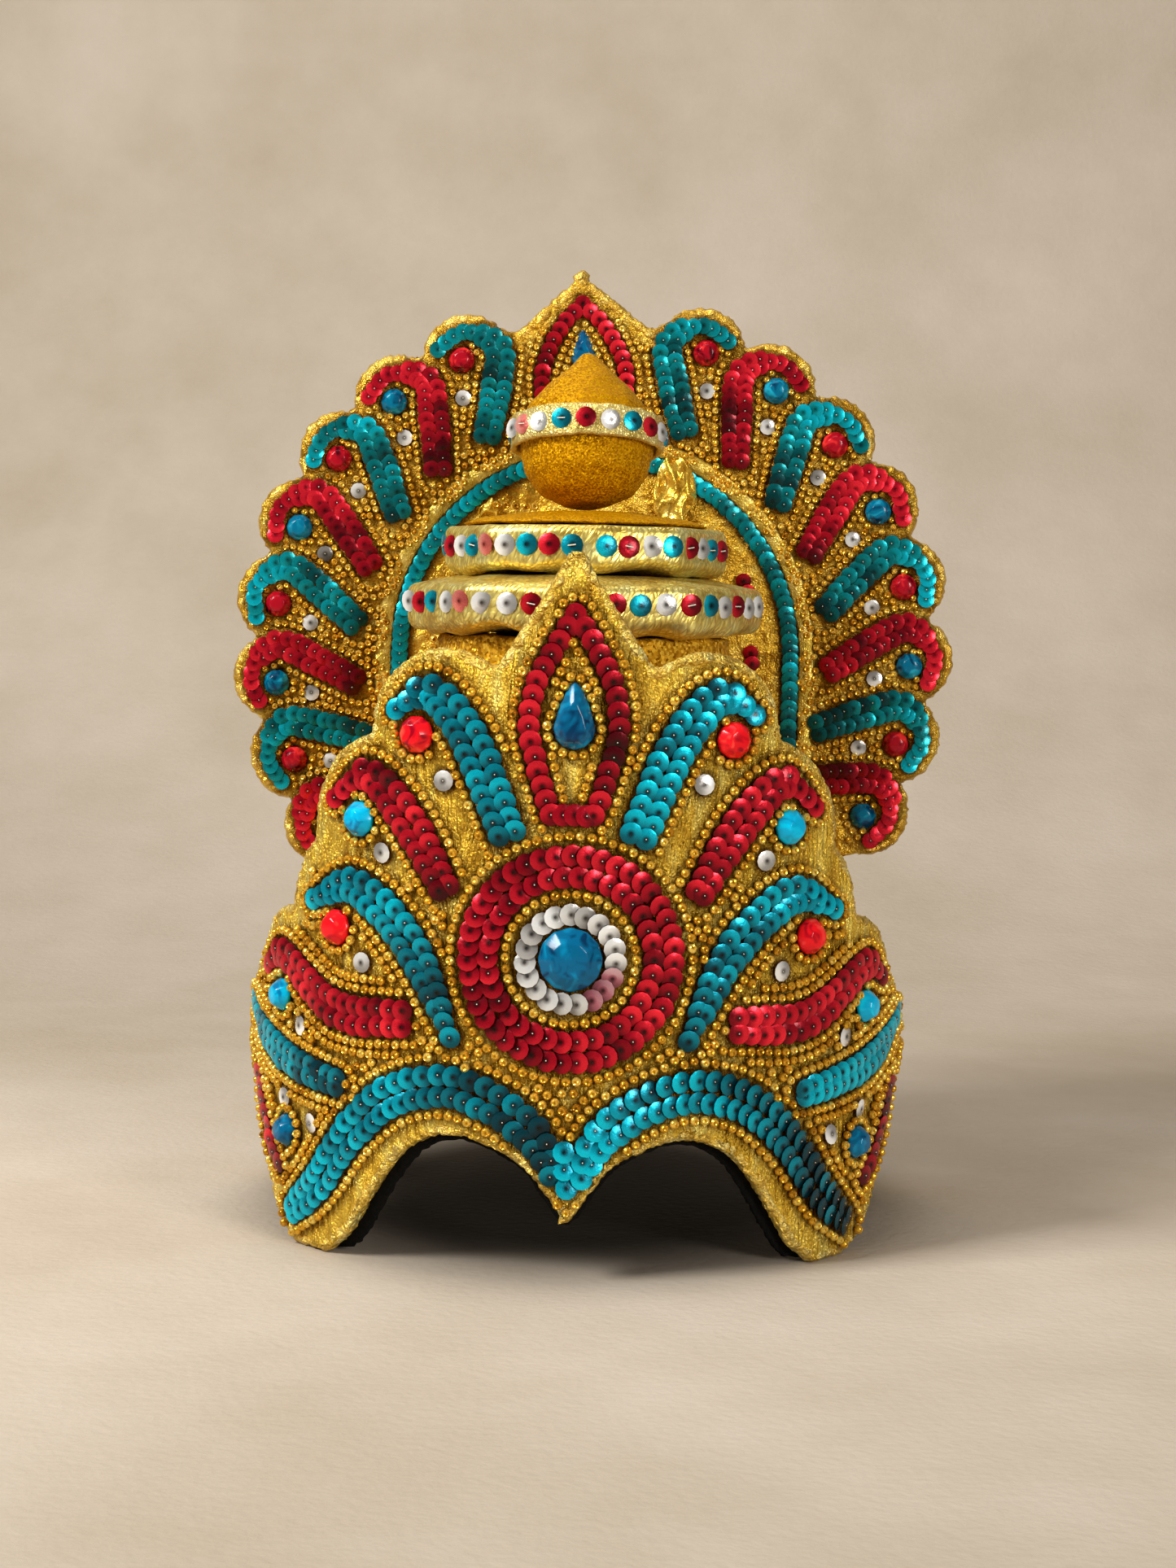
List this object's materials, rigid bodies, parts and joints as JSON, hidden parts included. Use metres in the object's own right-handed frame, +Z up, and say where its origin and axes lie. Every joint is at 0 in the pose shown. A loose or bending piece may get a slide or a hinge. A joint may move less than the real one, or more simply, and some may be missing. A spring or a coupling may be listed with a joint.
{
  "type": "dance crown",
  "caption": "Gold foil dance crown with a sequined spiked front board, a tiered cap with an onion bulb, and a scalloped disc behind.",
  "frame": {"origin": "middle of the crown's box at the level of the surface that it stands on", "axes": "-Y is the front, where the spike and the largest stone are, +X is the right side as seen from the front, +Z up"},
  "size_m": [0.2356, 0.1914, 0.2929],
  "materials": {
    "gold_foil": "crinkled metallic gold foil cloth with a fine leather grain, satin to glossy",
    "gold_glitter": "coarse orange gold glitter cloth, sparkling",
    "black_felt": "matt black felt",
    "teal_sequins": "glossy metallic teal sequins",
    "red_sequins": "glossy metallic crimson sequins",
    "clear_sequins": "glossy clear and silvery sequins",
    "blue_stone": "polished foil-backed acrylic stone, blue",
    "red_stone": "polished foil-backed acrylic stone, red"
  },
  "bodies": {
    "root": {"front_panel": "gold_foil", "front_lining": "black_felt", "spike_loop": "red_sequins", "medallion_ring_red": "red_sequins", "medallion_ring_clear": "clear_sequins", "hook_a_left": "teal_sequins", "hook_a_right": "teal_sequins", "hook_b_left": "red_sequins", "hook_b_right": "red_sequins", "hook_c_left": "teal_sequins", "hook_c_right": "teal_sequins", "hook_d_left": "red_sequins", "hook_d_right": "red_sequins", "band_e_left": "teal_sequins", "band_e_right": "teal_sequins", "hook_f_left": "red_sequins", "hook_f_right": "red_sequins", "wave_left": "teal_sequins", "wave_right": "teal_sequins", "stone_medallion": "blue_stone", "stone_spike": "blue_stone", "stone_a_left": "red_stone", "stone_a_right": "red_stone", "stone_b_left": "blue_stone", "stone_b_right": "blue_stone", "stone_c_left": "red_stone", "stone_c_right": "red_stone", "stone_d_left": "blue_stone", "stone_d_right": "blue_stone", "stone_f_left": "blue_stone", "stone_f_right": "blue_stone", "cap": "gold_glitter", "tier_lower": "gold_foil", "tier_upper": "gold_foil", "tier_dome": "gold_glitter", "bulb": "gold_glitter", "bulb_band": "gold_foil", "halo": "gold_foil", "halo_arc": "teal_sequins", "halo_spike_loop": "red_sequins", "halo_stone_spike": "blue_stone", "halo_stone_1_left": "red_stone", "halo_stone_1_right": "red_stone", "halo_stone_2_left": "blue_stone", "halo_stone_2_right": "blue_stone", "halo_stone_3_left": "red_stone", "halo_stone_3_right": "red_stone", "halo_stone_4_left": "blue_stone", "halo_stone_4_right": "blue_stone", "halo_stone_5_left": "red_stone", "halo_stone_5_right": "red_stone", "halo_stone_6_left": "blue_stone", "halo_stone_6_right": "blue_stone", "halo_stone_7_left": "red_stone", "halo_stone_7_right": "red_stone", "halo_stone_8_left": "blue_stone", "halo_stone_8_right": "blue_stone"}
  },
  "joints": []
}
